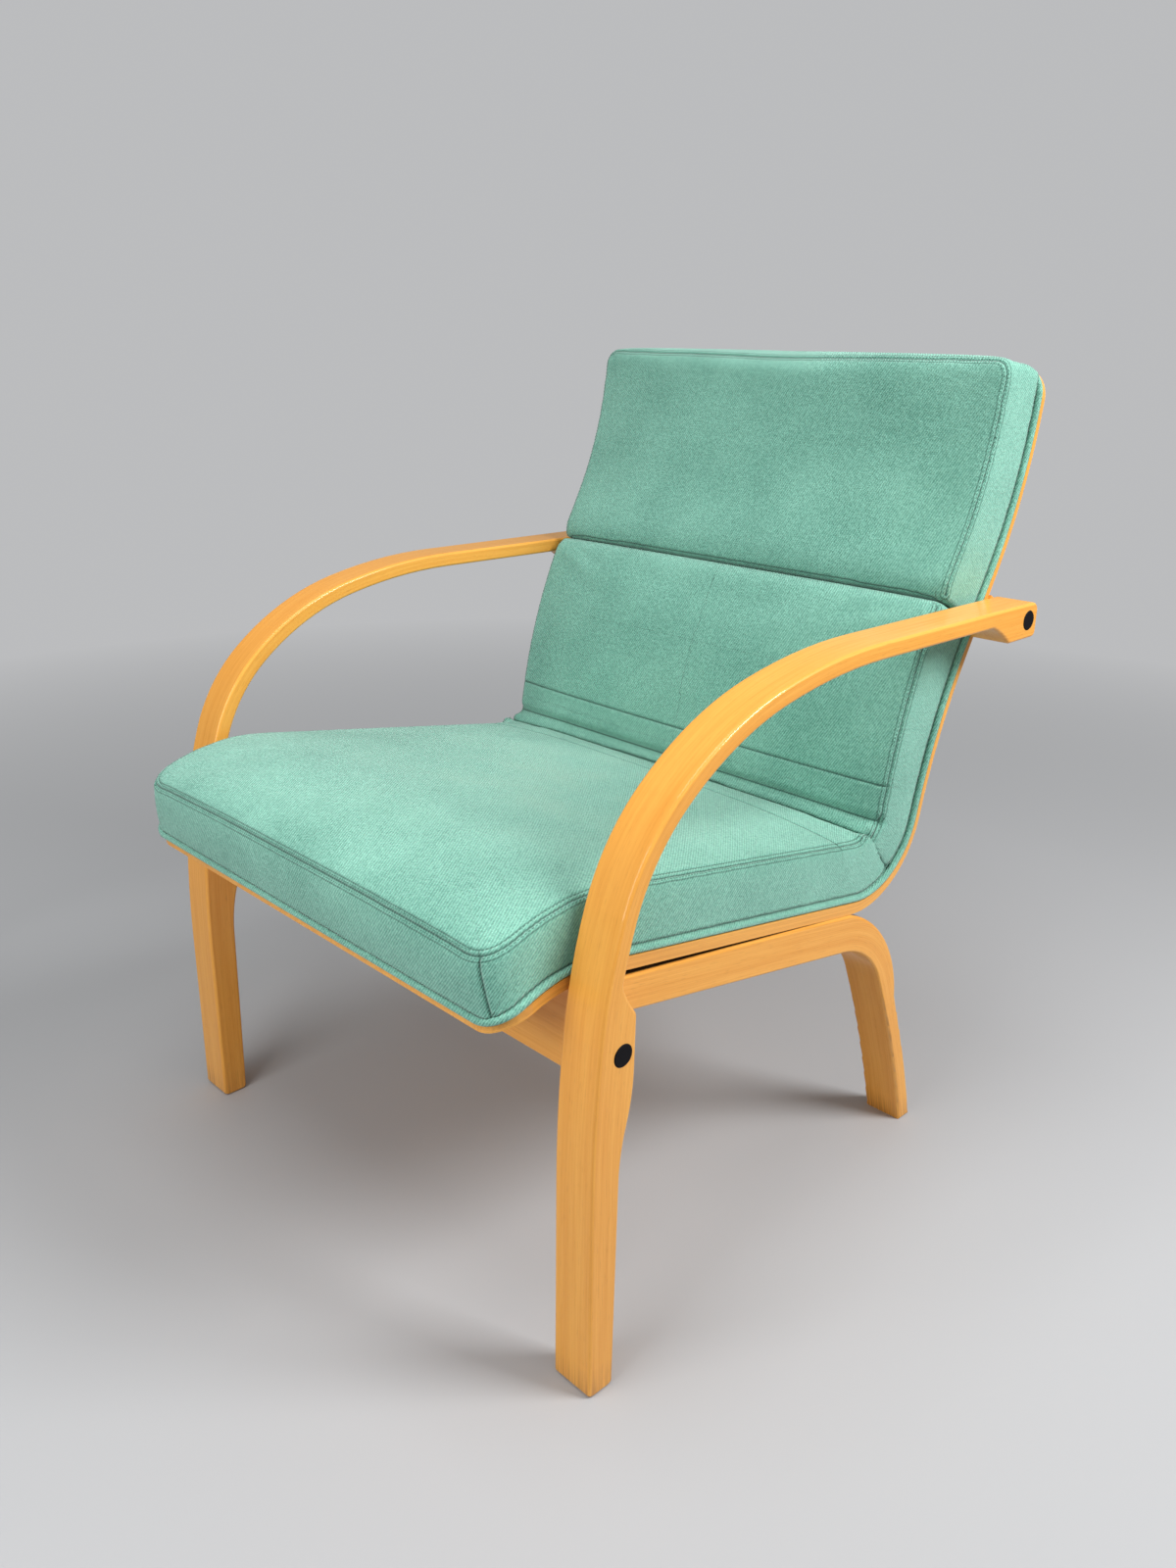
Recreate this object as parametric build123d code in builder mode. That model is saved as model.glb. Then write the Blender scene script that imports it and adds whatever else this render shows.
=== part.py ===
from build123d import *
import math
import os

# Bentwood lounge chair, in millimetres. The front faces -Y and the floor is Z = 0.
# Left and right are the sitter's, so the left side is at +X.
# Side profiles are drawn with Y counted backwards from the front toe.

# Bent strip that makes one front leg and its arm
overall_width = 660
arm_height = 598
arm_width = 44
arm_thickness = 16
leg_lean = 0.5
leg_straight = 199.7
arm_bends = ((1300, 6), (480, 12.5), (190, 31), (295, 27), (600, 13.5))  # radius, turn
arm_end_corner = 9
foot_corner = 5
shoulder_round = 8
scoop_end_round = 10
edge_round = 3

# Packing glued behind the front leg, thick where the bolt goes through
foot_depth = 28
packing_foot_top = 205
packing_low_slant = 5
packing_swell_radius = 195
packing_swell_turn = 14.8
packing_flat = 49
packing_scoop_angle = 127
packing_scoop_radius = 112
packing_scoop_turn = 24
packing_split_z = 500

# Block glued under the rear end of the arm
block_drop = 38
block_flat_length = 52
block_scoop_angle = 138
block_scoop_radius = 105
block_scoop_turn = 34
block_corner = 6
arm_end_margin = 18

# Bent strip that makes one seat rail and its rear leg
rail_width = 45
rail_thickness = 20
rail_front_z = 329
rail_slope = 10.5
rail_length = 356
rail_bend_radius = 97
rail_bend_turn = 56.5
rear_leg_radius = 1460
rear_leg_turn = 10

# Packing glued on top of the rail
rail_gap_front = 4.5
rail_seat_length = 34
rail_seat_lead = 9.6
rail_packing_bulge = 127
rail_packing_end_run = 46
rail_packing_end_inset = 2

# Crossbars
front_bar_y = 23
front_bar_thickness = 22
front_bar_bottom = 289
rear_bar_thickness = 16
rear_bar_height = 34
bar_round = 2
bar_shell_gap = 0.4

# Moulded plywood shell, by its underside and rear face
shell_thickness = 12
shell_back_thickness = 6
shell_early_fall = 6
shell_side_gap = 2.5
crest_y = 27
crest_z = 367.9
front_edge_y = -48
waterfall_radius = 130
seat_rake = 10
seat_run = 360.5
fold_radius = 98
back_low_angle = 78
lumbar_radius = 583
back_angle = 61
back_run = 85
head_radius = 500
head_angle = 85.5
shell_corner = 32
shell_corner_lap = 0.05

# Upholstered pads on the shell
pad_side_gap = 5
seat_pad_thickness = 63
seat_pad_early_fall = 18
back_pad_thickness = 54
back_pad_flare = 3.3
head_pad_thickness = 63
pad_crown = 8
pad_clear = 0.4
pad_trim = 2
pad_front_low = -50
pad_front_high = -59
pad_front_bulge = 3
pad_front_round = 18
pad_top_overhang = 12
pad_top_round = 16
pad_side_round = 8
pad_front_corner = 30
pad_top_corner = 20
pad_stations = (-1, -0.5, 0, 0.5, 1)
fold_share_turn = 44
crease_run = 31
crease_depth = 14
crease_gap = 0.5
fold_gap_turn = 1.2

# Bolts with washers, barrel nuts and caps
bolt_y = 34
bolt_z = 322
bolt_diameter = 6
bolt_length = 80
bolt_head_diameter = 11
bolt_head_height = 6
bolt_socket = 5
bolt_socket_depth = 3
washer_diameter = 18
washer_thickness = 1.6
bolt_clearance = 0.5
cap_diameter = 20
cap_thickness = 5
cap_dome = 0.8
cap_fit = 0.2
nut_diameter = 10
nut_length = 12
nut_inset = 34
nut_fit = 0.2

# Dowels and screws
dowel_diameter = 8
dowel_in_bar = 16
dowel_in_rail = 18
dowel_strip_z = 336
dowel_packing_z = 353
dowel_fit = 0.2
screw_diameter = 4
screw_head_diameter = 8
screw_head_height = 2.6
screw_fit = 0.3
screw_in_shell = 8
back_screw_in_shell = 4.5
seat_screw_length = 36
seat_screw_x = 150
rail_screw_run = 17
back_screw_recess = 3
back_screw_xs = (-200, -70, 70, 200)

os.makedirs("parts", exist_ok=True)


def sine(angle):
    return math.sin(math.radians(angle))


def cosine(angle):
    return math.cos(math.radians(angle))


def along(angle, length=1):
    return Vector(length * cosine(angle), length * sine(angle))


# Places that follow from the dimensions
arm_outer = overall_width / 2
arm_inner = arm_outer - arm_width
rail_inner = arm_inner - rail_width
shell_half = arm_inner - shell_side_gap
pad_half = arm_inner - pad_side_gap
front_bar_rear = front_bar_y + front_bar_thickness
shell_thinning = shell_thickness - shell_back_thickness

waterfall_centre = Vector(crest_y, crest_z - waterfall_radius)
seat_start = waterfall_centre + along(90 - seat_rake, waterfall_radius)
seat_end = seat_start + along(-seat_rake, seat_run)
fold_centre = seat_end + along(90 - seat_rake, fold_radius)
back_start = fold_centre + along(back_low_angle - 90, fold_radius)
lumbar_centre = back_start + along(back_low_angle - 90, lumbar_radius)
back_mid = lumbar_centre - along(back_angle - 90, lumbar_radius)
back_top = back_mid + along(back_angle, back_run)
head_centre = back_top - along(back_angle - 90, head_radius)
shell_end = head_centre + along(head_angle - 90, head_radius)

# The rear bolts run through the middle of the rear crossbar, which lies flat on the shell
arm_bolt_z = arm_height - block_drop / 2
rear_bar_half = rear_bar_thickness / 2
arm_bolt_run = (arm_bolt_z - back_mid.Y + rear_bar_half * cosine(back_angle)) / sine(back_angle)
arm_bolt_point = back_mid + along(back_angle, arm_bolt_run) + along(back_angle - 90, rear_bar_half)
arm_bolt_y = arm_bolt_point.X
arm_end_y = arm_bolt_y + arm_end_margin

# A higher arm has wider bends above the same straight leg
bend_rise = 0
bend_angle = 90 - leg_lean
for radius, turn in arm_bends:
    bend_rise += radius * (cosine(bend_angle - turn) - cosine(bend_angle))
    bend_angle -= turn
bend_scale = (arm_height - leg_straight) / bend_rise

# Stack of washer, bolt head and cap in each bolt hole
bore_depth = washer_thickness + bolt_head_height + cap_thickness
bolt_hole = bolt_diameter + bolt_clearance
cap_hole = cap_diameter + cap_fit
bolt_seat = arm_outer - bore_depth + washer_thickness
bolt_tip = bolt_seat - bolt_length
bolt_hole_end = bolt_tip - bolt_clearance
nut_x = arm_inner - nut_inset
nut_hole = nut_diameter + nut_fit

# Underside of the shell over the rear face of the front crossbar
front_bar_under = waterfall_centre.Y + math.sqrt(waterfall_radius**2 - (front_bar_rear - crest_y) ** 2)
front_bar_top = front_bar_under - bar_shell_gap
rail_x = (arm_inner + rail_inner) / 2
rail_bend_start = Vector(front_bar_rear, rail_front_z) + along(-rail_slope, rail_length)
rail_bend_centre = rail_bend_start - along(90 - rail_slope, rail_bend_radius)
rail_mid_radius = rail_bend_radius + rail_thickness / 2
rail_seat_reach = rail_bend_start.X + rail_seat_lead - seat_start.X
rail_seat_end = seat_start + along(-seat_rake, rail_seat_reach / cosine(seat_rake))

# The chair is centred front to back on its cushion front and the rear face of its shell
toe_y = -(pad_front_high + shell_end.X) / 2


def side_plane(x, y=0, z=0):
    """A plane facing +X, with its own x running backwards and its own y upwards."""
    return Plane(origin=(x, toe_y + y, z), x_dir=(0, 1, 0), z_dir=(1, 0, 0))


def end_planes(x, y, z):
    """Two planes facing outwards, one on each side of the chair."""
    left = Plane(origin=(x, toe_y + y, z), x_dir=(0, 1, 0), z_dir=(1, 0, 0))
    right = Plane(origin=(-x, toe_y + y, z), x_dir=(0, 1, 0), z_dir=(-1, 0, 0))
    return left, right


def facing(x, point, angle):
    """A plane at a point of the side view, facing a way that is given as an angle there."""
    way = along(angle)
    return Plane(origin=(x, toe_y + point.X, point.Y), x_dir=(1, 0, 0), z_dir=(0, way.X, way.Y))


def arm_line(depth):
    """The leg and arm at a depth below their front and top face, drawn from the foot up."""
    lean = along(90 - leg_lean)
    start = along(-leg_lean, depth) - lean * arm_thickness
    run = Line(start, start + lean * (leg_straight + arm_thickness))
    for radius, turn in arm_bends:
        run = JernArc(run @ 1, run % 1, radius * bend_scale - depth, -turn)
    end = Vector(arm_end_y, (run @ 1).Y + (arm_end_y - (run @ 1).X) * (run % 1).Y)
    Line(run @ 1, end)
    return start, end


def arm_strip_outline():
    """The side view of the bent strip alone, running a little below the floor."""
    front = arm_line(0)
    rear = arm_line(arm_thickness)
    Line(front[0], rear[0])
    Line(front[1], rear[1])


def rail_line(lift):
    """The seat rail and rear leg at a lift above their lower face, drawn from the front."""
    start = Vector(front_bar_rear, rail_front_z + lift / cosine(rail_slope))
    slope = along(-rail_slope)
    run = Line(start, start + slope * (rail_length + lift * math.tan(math.radians(rail_slope))))
    bend = JernArc(run @ 1, run % 1, rail_bend_radius + lift, -rail_bend_turn)
    leg = JernArc(bend @ 1, bend % 1, rear_leg_radius + lift, -rear_leg_turn)
    return start, leg @ 1, bend


def rail_strip_outline():
    """The side view of the bent rail strip alone, running a little below the floor."""
    low = rail_line(0)
    high = rail_line(rail_thickness)
    Line(low[0], high[0])
    Line(low[1], high[1])


def shell_line(lift, early_fall=0, late_fold=0):
    """The whole bent shell at a lift above its underside and rear face."""
    turn = seat_rake + back_low_angle
    start, fold = seat_line(lift, front_edge_y, turn, early_fall, late_fold)
    lumbar = JernArc(fold @ 1, fold % 1, lumbar_radius + lift, back_angle - back_low_angle)
    straight = Line(lumbar @ 1, lumbar @ 1 + along(back_angle, back_run))
    head = JernArc(straight @ 1, straight % 1, head_radius - lift, head_angle - back_angle)
    return start, head @ 1


def seat_line(lift, front_y, turn, early_fall=0, late_fold=0):
    """The waterfall front, the seat and part of the fold at a lift above the underside."""
    radius = waterfall_radius + lift
    centre = waterfall_centre + along(-seat_rake, early_fall)
    angle = math.degrees(math.asin((centre.X - front_y) / radius))
    start = centre + along(90 + angle, radius)
    front = JernArc(start, along(angle), radius, -angle - seat_rake)
    seat = Line(front @ 1, front @ 1 + along(-seat_rake, seat_run - early_fall + late_fold))
    fold = JernArc(seat @ 1, seat % 1, fold_radius - lift, turn)
    return start, fold


def back_line(lift, start_angle, run, flare=0, late_fold=0):
    """The rest of the fold and the lower back at a lift in front of the rear face."""
    radius = fold_radius - lift
    start = fold_centre + along(-seat_rake, late_fold) + along(start_angle - 90, radius)
    fold = JernArc(start, along(start_angle), radius, back_low_angle + flare - start_angle)
    lumbar = JernArc(fold @ 1, fold % 1, lumbar_radius + lift, back_angle - back_low_angle)
    straight = Line(lumbar @ 1, lumbar @ 1 + along(back_angle + flare, run))
    return start, straight


def head_line(lift, first_run, end_angle, late_fold=0):
    """The upper back at a lift in front of the rear face, from a run up its straight part."""
    start = back_mid + along(-seat_rake, late_fold)
    start += along(back_angle, first_run) + along(back_angle + 90, lift)
    straight = Line(start, start + along(back_angle, back_run - first_run))
    head = JernArc(straight @ 1, straight % 1, head_radius - lift, end_angle - back_angle)
    return start, head


def side_faces(solid):
    """The flat faces at the right and left end of a piece."""
    faces = solid.faces().filter_by(Plane.YZ).sort_by(Axis.X)
    return faces[0], faces[-1]


def long_edges(solid):
    """The edges around both side faces of a frame piece."""
    right, left = side_faces(solid)
    return right.outer_wire().edges() + left.outer_wire().edges()


# Left arm with its leg packing and end block, glued up and shaped as one
with BuildPart() as arm_form:
    with BuildSketch(side_plane(arm_inner)) as arm_side:
        with BuildLine():
            arm_strip_outline()
        make_face()
        with BuildLine():
            low = Line((arm_thickness / 2, 0), (foot_depth, 0))
            foot = Line(low @ 1, (foot_depth + packing_low_slant, packing_foot_top))
            spread = JernArc(foot @ 1, foot % 1, packing_swell_radius, -packing_swell_turn)
            gather = JernArc(spread @ 1, spread % 1, packing_swell_radius, packing_swell_turn)
            flat = Line(gather @ 1, gather @ 1 + (gather % 1) * packing_flat)
            scoop_way = along(packing_scoop_angle)
            scoop = JernArc(flat @ 1, scoop_way, packing_scoop_radius, -packing_scoop_turn)
            Polyline(scoop @ 1, (arm_thickness / 2, packing_foot_top), low @ 0)
        make_face()
        with BuildLine():
            block_bottom = arm_height - block_drop
            block_front = arm_end_y - block_flat_length
            under = Line((arm_end_y, block_bottom), (block_front, block_bottom))
            cove = JernArc(under @ 1, along(block_scoop_angle), block_scoop_radius, block_scoop_turn)
            top = Line(cove @ 1, (arm_end_y, arm_height - arm_thickness / 2))
            Line(top @ 1, under @ 0)
        make_face()
        with Locations((0, -arm_thickness)):
            Rectangle(arm_width * 4, arm_thickness * 2, mode=Mode.SUBTRACT)
        for corner, radius in (
            ((0, 0), foot_corner),
            ((foot_depth, 0), foot_corner),
            (flat @ 1, shoulder_round),
            (scoop @ 0.5, scoop_end_round),
            (cove @ 0.6, scoop_end_round),
            (under @ 1, shoulder_round),
            ((arm_end_y, block_bottom), block_corner),
            ((arm_end_y, arm_height), arm_end_corner),
        ):
            fillet(arm_side.vertices().sort_by_distance(corner)[0], radius)
    extrude(amount=arm_width)
    fillet(long_edges(arm_form.part), edge_round)
    with Locations(
        side_plane(arm_outer, bolt_y, bolt_z),
        side_plane(arm_outer, arm_bolt_y, arm_bolt_z),
    ):
        CounterBoreHole(bolt_hole / 2, cap_hole / 2, bore_depth)

# The bent strip by itself, wider than the arm, to part the glued pieces from each other
with BuildPart() as arm_core:
    with BuildSketch(side_plane(arm_inner - edge_round)):
        with BuildLine():
            arm_strip_outline()
        make_face()
    extrude(amount=arm_width + 2 * edge_round)

with BuildPart() as arm_strip_left:
    add(arm_form.part)
    add(arm_core.part, mode=Mode.INTERSECT)

with BuildPart() as leg_packing_left:
    add(arm_form.part)
    add(arm_core.part, mode=Mode.SUBTRACT)
    split(bisect_by=Plane.XY.offset(packing_split_z), keep=Keep.BOTTOM)

with BuildPart() as arm_end_block_left:
    add(arm_form.part)
    add(arm_core.part, mode=Mode.SUBTRACT)
    split(bisect_by=Plane.XY.offset(packing_split_z), keep=Keep.TOP)

# Screws that hold the shell, each placed by the seat of its head
crossbar_screw_z = front_bar_under + screw_in_shell - seat_screw_length
crossbar_screws = [
    facing(x, Vector(bolt_y, crossbar_screw_z), -90) for x in (-seat_screw_x, seat_screw_x)
]
rail_screw_seat = (
    rail_seat_end
    - along(-seat_rake, rail_screw_run)
    - along(90 - seat_rake, seat_screw_length - screw_in_shell)
)
rail_screws = [facing(x, rail_screw_seat, -90 - seat_rake) for x in (-rail_x, rail_x)]
back_screw_length = rear_bar_thickness - back_screw_recess + back_screw_in_shell
back_screw_seat = arm_bolt_point + along(back_angle - 90, rear_bar_half - back_screw_recess)
back_screw_planes = [facing(x, back_screw_seat, back_angle - 90) for x in back_screw_xs]
screw_hole = screw_diameter + screw_fit
screw_head_hole = screw_head_diameter + 2 * screw_fit

# Left seat rail and rear leg with the packing on the rail, shaped as one
with BuildPart() as rail_form:
    with BuildSketch(side_plane(rail_inner)) as rail_side:
        with BuildLine():
            rail_strip_outline()
        make_face()
        with BuildLine():
            front = Line(
                (front_bar_rear, rail_front_z + rail_thickness / 2),
                (front_bar_rear, front_bar_under - rail_gap_front),
            )
            slope = Line(front @ 1, rail_seat_end - along(-seat_rake, rail_seat_length))
            seat = Line(slope @ 1, rail_seat_end)
            leg_angle = -rail_slope - rail_bend_turn
            end = (
                rail_bend_centre
                + along(leg_angle + 90, rail_bend_radius + rail_thickness - rail_packing_end_inset)
                + along(leg_angle, rail_packing_end_run)
            )
            outer = ThreePointArc(seat @ 1, rail_bend_centre + along(45, rail_packing_bulge), end)
            Polyline(
                outer @ 1,
                rail_bend_centre + along(45, rail_mid_radius),
                rail_bend_centre + along(90 - rail_slope, rail_mid_radius),
                front @ 0,
            )
        make_face()
        with Locations((arm_end_y, -arm_thickness * 2)):
            Rectangle(arm_height, arm_thickness * 4, mode=Mode.SUBTRACT)
    extrude(amount=rail_width)
    joint_end = toe_y + front_bar_rear + edge_round
    fillet(long_edges(rail_form.part).filter_by(lambda edge: edge.center().Y > joint_end), edge_round)
    for z in (dowel_strip_z, dowel_packing_z):
        with Locations(facing(rail_x, Vector(front_bar_rear, z), 180)):
            Hole((dowel_diameter + dowel_fit) / 2, dowel_in_rail + dowel_fit)
    with Locations(rail_screws[1]):
        Hole(screw_hole / 2, seat_screw_length)
        Cylinder(
            screw_head_hole / 2,
            rail_thickness,
            align=(Align.CENTER, Align.CENTER, Align.MIN),
            mode=Mode.SUBTRACT,
        )

with BuildPart() as rail_core:
    with BuildSketch(side_plane(rail_inner - edge_round)):
        with BuildLine():
            rail_strip_outline()
        make_face()
    extrude(amount=rail_width + 2 * edge_round)

with BuildPart() as rail_strip_left:
    add(rail_form.part)
    add(rail_core.part, mode=Mode.INTERSECT)

with BuildPart() as rail_packing_left:
    add(rail_form.part)
    add(rail_core.part, mode=Mode.SUBTRACT)


# Crossbars between the arms
with BuildPart() as front_crossbar:
    with BuildSketch(side_plane(-arm_inner)):
        with Locations((front_bar_y, front_bar_bottom)):
            Rectangle(
                front_bar_thickness,
                front_bar_top - front_bar_bottom,
                align=(Align.MIN, Align.MIN),
            )
    extrude(amount=2 * arm_inner)
    bottom_face = front_crossbar.faces().sort_by(Axis.Z)[0]
    fillet(bottom_face.edges().filter_by(Axis.X), bar_round)
    with Locations(*end_planes(arm_inner, bolt_y, bolt_z)):
        Hole(bolt_hole / 2, arm_inner - bolt_hole_end)
    for x in (-nut_x, nut_x):
        with Locations(facing(x, Vector(front_bar_rear, bolt_z), 0)):
            Hole(nut_hole / 2, front_bar_rear - bolt_y + nut_length / 2 + nut_fit)
    for x in (-rail_x, rail_x):
        for z in (dowel_strip_z, dowel_packing_z):
            with Locations(facing(x, Vector(front_bar_rear, z), 0)):
                Hole((dowel_diameter + dowel_fit) / 2, dowel_in_bar + dowel_fit)
    with Locations(*crossbar_screws):
        Hole(screw_hole / 2, seat_screw_length)
        Cylinder(
            screw_head_hole / 2,
            crossbar_screw_z,
            align=(Align.CENTER, Align.CENTER, Align.MIN),
            mode=Mode.SUBTRACT,
        )

with BuildPart() as rear_crossbar:
    with BuildSketch(side_plane(-arm_inner)):
        with Locations((arm_bolt_y, arm_bolt_z)):
            Rectangle(rear_bar_height, rear_bar_thickness, rotation=back_angle)
    extrude(amount=2 * arm_inner)
    rear_way = Axis((0, 0, 0), (0, sine(back_angle), -cosine(back_angle)))
    rear_face = rear_crossbar.faces().sort_by(rear_way)[-1]
    fillet(rear_face.edges().filter_by(Axis.X), bar_round)
    with Locations(*end_planes(arm_inner, arm_bolt_y, arm_bolt_z)):
        Hole(bolt_hole / 2, arm_inner - bolt_hole_end)
    rear_skin = arm_bolt_point + along(back_angle - 90, rear_bar_half)
    with Locations(*[facing(x, rear_skin, back_angle - 90) for x in (-nut_x, nut_x)]):
        Hole(nut_hole / 2, rear_bar_half + nut_length / 2 + nut_fit)
    with Locations(*back_screw_planes):
        Hole(screw_hole / 2, rear_bar_thickness)
        Cylinder(
            screw_head_hole / 2,
            back_screw_recess,
            align=(Align.CENTER, Align.CENTER, Align.MIN),
            mode=Mode.SUBTRACT,
        )

# Plywood shell in one sheet, thinned at its front edge and from the fold up
with BuildPart() as seat_shell:
    with BuildSketch(side_plane(-shell_half)):
        with BuildLine():
            under = shell_line(0)
            upper = shell_line(shell_thickness, shell_early_fall, shell_thinning)
            Line(under[0], upper[0])
            Line(under[1], upper[1])
        make_face()
    extrude(amount=2 * shell_half)
    shell_box = seat_shell.part.bounding_box()
    rounded_width = 2 * (shell_half + shell_corner_lap)
    rounded_middle = 2 * shell_corner - shell_corner_lap
    with BuildSketch(Plane.XY):
        with Locations((0, shell_box.min.Y)):
            Rectangle(overall_width, 2 * shell_corner)
        with Locations((0, shell_box.min.Y + rounded_middle)):
            RectangleRounded(rounded_width, 4 * shell_corner, shell_corner, mode=Mode.SUBTRACT)
    extrude(amount=arm_height, mode=Mode.SUBTRACT)
    with BuildSketch(Plane.XZ):
        with Locations((0, shell_box.max.Z)):
            Rectangle(overall_width, 2 * shell_corner)
        with Locations((0, shell_box.max.Z - rounded_middle)):
            RectangleRounded(rounded_width, 4 * shell_corner, shell_corner, mode=Mode.SUBTRACT)
    extrude(amount=arm_height, both=True, mode=Mode.SUBTRACT)
    with Locations(*crossbar_screws, *rail_screws):
        Hole(screw_hole / 2, seat_screw_length + screw_fit)
    with Locations(*back_screw_planes):
        Hole(screw_hole / 2, back_screw_length + screw_fit)

# Pads of foam in their sewn cover, thicker in the middle than along the sides, and trimmed to
# their plan where it has round corners
pad_low = shell_thickness + pad_clear
seat_turn = fold_share_turn - fold_gap_turn
back_start_angle = fold_share_turn + fold_gap_turn - seat_rake

with BuildPart() as seat_cushion:
    for station in pad_stations:
        lift = shell_thickness + seat_pad_thickness + pad_crown * (1 - station**4)
        with BuildSketch(side_plane(station * (pad_half + pad_trim))) as seat_section:
            with BuildLine():
                low_start, low_fold = seat_line(
                    pad_low, pad_front_low, seat_turn, shell_early_fall, shell_thinning
                )
                high_start, high_fold = seat_line(lift, pad_front_high, seat_turn, seat_pad_early_fall)
                Line(low_fold @ 1, high_fold @ 1)
                middle = (low_start + high_start) / 2 - Vector(pad_front_bulge, 0)
                ThreePointArc(low_start, middle, high_start)
            make_face()
            fillet(seat_section.vertices().sort_by_distance(high_start)[0], pad_front_round)
    loft()
    with BuildSketch(Plane.XY) as seat_plan:
        with Locations((0, seat_cushion.part.bounding_box().min.Y)):
            Rectangle(2 * pad_half, arm_height, align=(Align.CENTER, Align.MIN))
        fillet(seat_plan.vertices().group_by(Axis.Y)[0], pad_front_corner)
    extrude(amount=arm_height, mode=Mode.INTERSECT)

with BuildPart() as back_cushion:
    run = crease_run - crease_gap / 2
    for station in pad_stations:
        lift = shell_thickness + back_pad_thickness + pad_crown * (1 - station**4)
        with BuildSketch(side_plane(station * pad_half)) as back_section:
            with BuildLine():
                low_start, low_end = back_line(
                    pad_low, back_start_angle, run, late_fold=shell_thinning
                )
                high_start, high_end = back_line(lift, back_start_angle, run, back_pad_flare)
                Line(low_start, high_start)
                Line(low_end @ 1, high_end @ 1)
            make_face()
            fillet(back_section.vertices().sort_by_distance(high_end @ 1)[0], crease_depth)
    loft()
    longest = [face.edges().sort_by(SortBy.LENGTH)[-1] for face in side_faces(back_cushion.part)]
    fillet(longest, pad_side_round)

with BuildPart() as head_cushion:
    run = crease_run + crease_gap / 2
    for station in pad_stations:
        lift = shell_thickness + head_pad_thickness + pad_crown * (1 - station**4)
        end_angle = head_angle + math.degrees(pad_top_overhang / (head_radius - lift))
        with BuildSketch(side_plane(station * (pad_half + pad_trim))) as head_section:
            with BuildLine():
                low_start, low_end = head_line(pad_low, run, head_angle, shell_thinning)
                high_start, high_end = head_line(lift, run, end_angle)
                Line(low_start, high_start)
                Line(low_end @ 1, high_end @ 1)
            make_face()
            fillet(head_section.vertices().sort_by_distance(high_start)[0], crease_depth)
            fillet(head_section.vertices().sort_by_distance(high_end @ 1)[0], pad_top_round)
    loft()
    with BuildSketch(Plane.XZ) as head_front:
        with Locations((0, head_cushion.part.bounding_box().max.Z)):
            Rectangle(2 * pad_half, arm_height, align=(Align.CENTER, Align.MAX))
        fillet(head_front.vertices().group_by(Axis.Y)[-1], pad_top_corner)
    extrude(amount=arm_height, both=True, mode=Mode.INTERSECT)

# Fasteners, drawn on the planes of their holes
bolt_planes = end_planes(bolt_seat, bolt_y, bolt_z) + end_planes(bolt_seat, arm_bolt_y, arm_bolt_z)
with BuildPart() as frame_bolts:
    with Locations(*bolt_planes):
        Cylinder(bolt_diameter / 2, bolt_length, align=(Align.CENTER, Align.CENTER, Align.MAX))
        Cylinder(
            bolt_head_diameter / 2, bolt_head_height, align=(Align.CENTER, Align.CENTER, Align.MIN)
        )
    with Locations(*[plane.offset(bolt_head_height) for plane in bolt_planes]):
        Hole(bolt_socket / 2, bolt_socket_depth)

with BuildPart() as bolt_washers:
    with Locations(*bolt_planes):
        Cylinder(washer_diameter / 2, washer_thickness, align=(Align.CENTER, Align.CENTER, Align.MAX))
        Hole(bolt_hole / 2, washer_thickness)

with BuildPart() as bolt_caps:
    with Locations(*[plane.offset(bolt_head_height) for plane in bolt_planes]):
        Cylinder(
            cap_diameter / 2,
            cap_thickness + cap_dome,
            align=(Align.CENTER, Align.CENTER, Align.MIN),
        )
    outer_rims = bolt_caps.edges().filter_by(lambda edge: abs(edge.center().X) > arm_outer)
    chamfer(outer_rims, cap_dome)

with BuildPart() as barrel_nuts:
    nut_planes = [facing(x, Vector(bolt_y, bolt_z), 0) for x in (-nut_x, nut_x)]
    nut_planes += [facing(x, arm_bolt_point, back_angle - 90) for x in (-nut_x, nut_x)]
    with Locations(*nut_planes):
        Cylinder(nut_diameter / 2, nut_length)
    with Locations(*bolt_planes):
        Hole((bolt_diameter + nut_fit) / 2, bolt_length)

with BuildPart() as rail_dowels:
    for x in (-rail_x, rail_x):
        for z in (dowel_strip_z, dowel_packing_z):
            with Locations(facing(x, Vector(front_bar_rear + dowel_in_rail, z), 0)):
                Cylinder(
                    dowel_diameter / 2,
                    dowel_in_rail + dowel_in_bar,
                    align=(Align.CENTER, Align.CENTER, Align.MAX),
                )

with BuildPart() as seat_screws:
    with Locations(*crossbar_screws, *rail_screws):
        Cylinder(screw_diameter / 2, seat_screw_length, align=(Align.CENTER, Align.CENTER, Align.MAX))
        Cylinder(
            screw_head_diameter / 2, screw_head_height, align=(Align.CENTER, Align.CENTER, Align.MIN)
        )

with BuildPart() as back_screws:
    with Locations(*back_screw_planes):
        Cylinder(screw_diameter / 2, back_screw_length, align=(Align.CENTER, Align.CENTER, Align.MAX))
        Cylinder(
            screw_head_diameter / 2, screw_head_height, align=(Align.CENTER, Align.CENTER, Align.MIN)
        )

# Right-hand pieces mirror the left-hand ones
with BuildPart() as arm_strip_right:
    mirror(arm_strip_left.part, about=Plane.YZ)

with BuildPart() as leg_packing_right:
    mirror(leg_packing_left.part, about=Plane.YZ)

with BuildPart() as arm_end_block_right:
    mirror(arm_end_block_left.part, about=Plane.YZ)

with BuildPart() as rail_strip_right:
    mirror(rail_strip_left.part, about=Plane.YZ)

with BuildPart() as rail_packing_right:
    mirror(rail_packing_left.part, about=Plane.YZ)

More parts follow.
